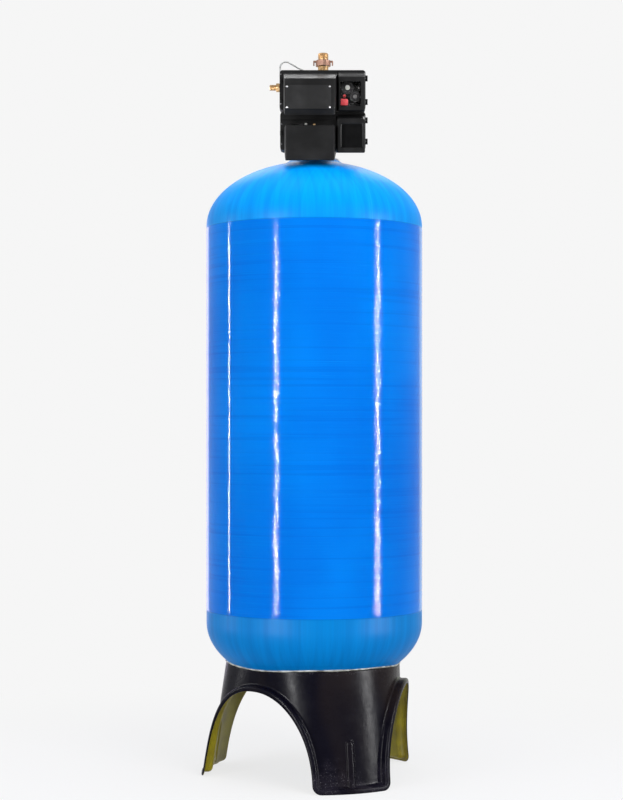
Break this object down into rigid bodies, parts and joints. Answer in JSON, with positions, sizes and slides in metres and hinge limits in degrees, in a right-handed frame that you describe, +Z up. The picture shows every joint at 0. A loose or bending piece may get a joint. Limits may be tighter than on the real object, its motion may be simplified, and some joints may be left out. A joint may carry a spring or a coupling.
{
  "type": "commercial water softener",
  "caption": "Tall wound blue pressure vessel on a black moulded tripod base, with a two-storey boxed control valve, brass union, drain nipple and pilot tube on top.",
  "frame": {"origin": "on the floor under the vessel's axis", "axes": "+Z up along the vessel, -Y towards the front of the valve, +X to the right as seen from the front"},
  "size_m": [0.787, 0.7862, 2.56],
  "materials": {
    "blue_shell": "glossy wound fibre and resin",
    "liner": "plain",
    "base": "glossy black, scuffed",
    "black_fitting": "satin",
    "white_plastic": "plain",
    "gravel": "loose grains",
    "resin": "loose beads",
    "brass": "cast, satin",
    "nut_brass": "cast, pinkish",
    "tube": "translucent grey-white",
    "gear": "plain",
    "steel": "satin",
    "screw_steel": "satin",
    "seal_rubber": "plain",
    "cover": "satin black",
    "window": "clear",
    "plate": "dark satin",
    "timer_face": "satin",
    "dial": "grey and white",
    "knob": "fluted, black",
    "button": "red"
  },
  "bodies": {
    "root": {"tank_shell": "blue_shell", "tank_liner": "liner", "neck_insert": "black_fitting", "riser_tube": "white_plastic", "distributor_hub": "white_plastic", "gravel_bed": "gravel", "resin_bed": "resin", "top_diffuser": "white_plastic", "tripod_base": "base", "tank_adapter": "black_fitting", "valve_body": "brass", "inlet_coupling": "brass", "outlet_coupling": "brass", "drain_nipple": "brass", "union_stub": "brass", "union_tail": "brass", "union_nut": "nut_brass", "pilot_tube": "tube", "tube_nut_left": "brass", "tube_nut_right": "brass", "upper_motor": "steel", "lower_motor": "steel", "upper_seal_pack": "seal_rubber", "lower_seal_pack": "seal_rubber", "upper_back_shell": "cover", "lower_back_shell": "cover", "timer_plate": "timer_face", "lateral_1": "white_plastic", "lateral_2": "white_plastic", "lateral_3": "white_plastic", "lateral_4": "white_plastic", "lateral_5": "white_plastic", "lateral_6": "white_plastic", "hinge_pin_1": "steel", "hinge_pin_2": "steel", "hinge_pin_3": "steel", "hinge_pin_4": "steel"},
    "upper_cover": {"upper_cover": "cover", "window_pane": "window", "name_plate": "plate", "plate_screw_1": "screw_steel", "plate_screw_2": "screw_steel", "plate_screw_3": "screw_steel", "plate_screw_4": "screw_steel", "cover_screw_1": "screw_steel", "cover_screw_2": "screw_steel"},
    "lower_cover": {"lower_cover": "cover", "cover_screw_3": "screw_steel", "cover_screw_4": "screw_steel"},
    "upper_gear": {"upper_drive_gear": "gear"},
    "lower_gear": {"lower_drive_gear": "gear"},
    "upper_pinion": {"upper_motor_pinion": "steel"},
    "lower_pinion": {"lower_motor_pinion": "steel"},
    "upper_piston": {"upper_piston": "brass"},
    "lower_piston": {"lower_piston": "brass"},
    "program_dial": {"program_dial": "dial"},
    "manual_knob": {"manual_knob": "knob"},
    "time_set_button": {"time_set_button": "button"}
  },
  "joints": [
    {"name": "upper_cover_hinge", "type": "hinge", "parent": "root", "child": "upper_cover", "pos_m": [0.1825, -0.145, 2.407], "axis": [0, 0, 1], "range_deg": [0, 110]},
    {"name": "lower_cover_hinge", "type": "hinge", "parent": "root", "child": "lower_cover", "pos_m": [0.1825, -0.145, 2.268], "axis": [0, 0, 1], "range_deg": [0, 110]},
    {"name": "upper_gear_turn", "type": "hinge", "parent": "root", "child": "upper_gear", "pos_m": [-0.03, -0.16, 2.385], "axis": [1, 0, 0], "continuous": true},
    {"name": "upper_pinion_turn", "type": "hinge", "parent": "root", "child": "upper_pinion", "pos_m": [-0.03, -0.2, 2.385], "axis": [1, 0, 0], "continuous": true},
    {"name": "upper_piston_slide", "type": "slide", "parent": "root", "child": "upper_piston", "axis": [0, 1, 0], "range_m": [0, 0.03]},
    {"name": "lower_gear_turn", "type": "hinge", "parent": "root", "child": "lower_gear", "pos_m": [-0.03, -0.16, 2.258], "axis": [1, 0, 0], "continuous": true},
    {"name": "lower_pinion_turn", "type": "hinge", "parent": "root", "child": "lower_pinion", "pos_m": [-0.03, -0.2, 2.258], "axis": [1, 0, 0], "continuous": true},
    {"name": "lower_piston_slide", "type": "slide", "parent": "root", "child": "lower_piston", "axis": [0, 1, 0], "range_m": [0, 0.03]},
    {"name": "program_dial_turn", "type": "hinge", "parent": "root", "child": "program_dial", "pos_m": [0.1154, -0.169, 2.4114], "axis": [0, -1, 0], "continuous": true},
    {"name": "manual_knob_turn", "type": "hinge", "parent": "root", "child": "manual_knob", "pos_m": [0.1415, -0.169, 2.3797], "axis": [0, -1, 0], "continuous": true},
    {"name": "time_set_press", "type": "slide", "parent": "root", "child": "time_set_button", "axis": [0, 1, 0], "range_m": [0, 0.0025], "stiffness_N_per_m": 300, "springref_m": -0.001}
  ],
  "couplings": [
    {"joint": "upper_pinion_turn", "follows": "upper_gear_turn", "ratio": -3},
    {"joint": "lower_pinion_turn", "follows": "lower_gear_turn", "ratio": -3}
  ]
}
